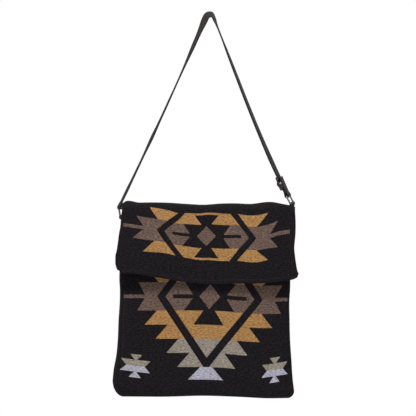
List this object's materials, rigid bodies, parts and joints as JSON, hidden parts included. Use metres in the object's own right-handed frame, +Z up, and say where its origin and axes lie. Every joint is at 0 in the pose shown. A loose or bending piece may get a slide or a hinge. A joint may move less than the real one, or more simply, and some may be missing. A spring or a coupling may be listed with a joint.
{
  "type": "flap shoulder bag",
  "caption": "Flat woven shoulder bag with a deep fold-over flap, geometric pattern and a narrow adjustable strap on metal rings.",
  "frame": {"origin": "underside of the strap's bend, where a hook or a shoulder carries the bag", "axes": "+Z up, along the hanging bag; -Y out of the front, where the flap hangs; +X to the right seen from the front"},
  "size_m": [0.2884, 0.04, 0.6136],
  "materials": {
    "black_wool": "coarse flat-woven wool, matt black",
    "taupe_wool": "heathered flat-woven wool, taupe",
    "gold_wool": "heathered flat-woven wool, ochre gold",
    "sage_wool": "heathered flat-woven wool, grey green",
    "lilac_wool": "heathered flat-woven wool, pale lilac",
    "lining_cotton": "plain cotton, black",
    "strap_webbing": "ribbed webbing, black",
    "ring_metal": "polished nickel",
    "slide_metal": "black lacquered metal"
  },
  "bodies": {
    "root": {"back_panel_and_flap": "black_wool", "flap_diamond_field": "taupe_wool", "flap_left_half_hexagon_field": "taupe_wool", "flap_left_lower_gold_tooth_field": "gold_wool", "flap_left_star_field": "taupe_wool", "flap_left_upper_gold_tooth_field": "gold_wool", "flap_lower_gold_row_field": "gold_wool", "flap_right_half_hexagon_field": "taupe_wool", "flap_right_lower_gold_tooth_field": "gold_wool", "flap_right_star_field": "taupe_wool", "flap_right_upper_gold_tooth_field": "gold_wool", "flap_upper_gold_row_field": "gold_wool", "front_diamond_field": "taupe_wool", "front_gold_heart_field": "gold_wool", "front_left_half_hexagon_field": "taupe_wool", "front_left_lower_gold_teeth_field": "gold_wool", "front_left_sage_teeth_field": "sage_wool", "front_left_side_star_lower_field": "lilac_wool", "front_left_side_star_upper_field": "sage_wool", "front_left_star_field": "taupe_wool", "front_left_upper_gold_tooth_field": "gold_wool", "front_lilac_foot_field": "lilac_wool", "front_panel": "black_wool", "front_right_half_hexagon_field": "taupe_wool", "front_right_lower_gold_teeth_field": "gold_wool", "front_right_sage_teeth_field": "sage_wool", "front_right_side_star_lower_field": "lilac_wool", "front_right_side_star_upper_field": "sage_wool", "front_right_star_field": "taupe_wool", "front_right_upper_gold_tooth_field": "gold_wool", "front_sage_point_field": "sage_wool", "front_upper_gold_row_field": "gold_wool", "gusset": "black_wool", "left_ring": "ring_metal", "left_tab": "strap_webbing", "lining": "lining_cotton", "right_ring": "ring_metal", "right_tab": "strap_webbing", "strap": "strap_webbing", "strap_slide": "slide_metal"}
  },
  "joints": []
}
